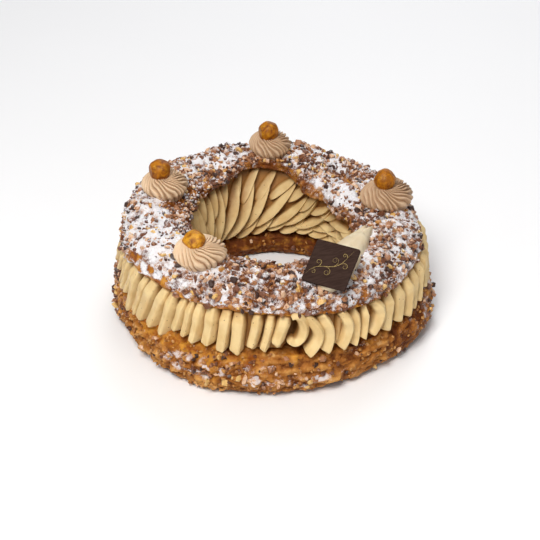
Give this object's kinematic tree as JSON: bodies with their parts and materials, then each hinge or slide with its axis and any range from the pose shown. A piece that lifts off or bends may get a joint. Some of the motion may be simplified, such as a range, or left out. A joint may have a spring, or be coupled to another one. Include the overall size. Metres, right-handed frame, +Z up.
{
  "type": "paris brest pastry",
  "caption": "Ring of split choux pastry filled with piped praline cream, topped with chopped nuts, icing sugar, cream rosettes, hazelnuts and a chocolate plaque",
  "frame": {"origin": "centre of the bounding box in plan, on the surface that the pastry rests on", "axes": "+Z up, through the middle of the ring; -Y is the front, where the plaque faces; +X to the right"},
  "size_m": [0.2057, 0.2102, 0.0941],
  "materials": {
    "baked_choux": "baked, matt, rough",
    "praline_cream": "piped butter cream, soft satin",
    "rosette_cream": "piped whipped cream, soft satin",
    "caramelised_hazelnut": "roasted and caramelised, glossy",
    "dark_chocolate": "tempered chocolate, satin",
    "pale_cream": "smooth cream, satin"
  },
  "bodies": {
    "root": {"lower_crust": "baked_choux", "upper_crust": "baked_choux", "cream_ring": "praline_cream", "rosette_back": "rosette_cream", "rosette_left": "rosette_cream", "rosette_front": "rosette_cream", "rosette_right": "rosette_cream", "hazelnut_back": "caramelised_hazelnut", "hazelnut_left": "caramelised_hazelnut", "hazelnut_front": "caramelised_hazelnut", "hazelnut_right": "caramelised_hazelnut", "chocolate_plaque": "dark_chocolate", "cream_dab": "pale_cream"}
  },
  "joints": []
}
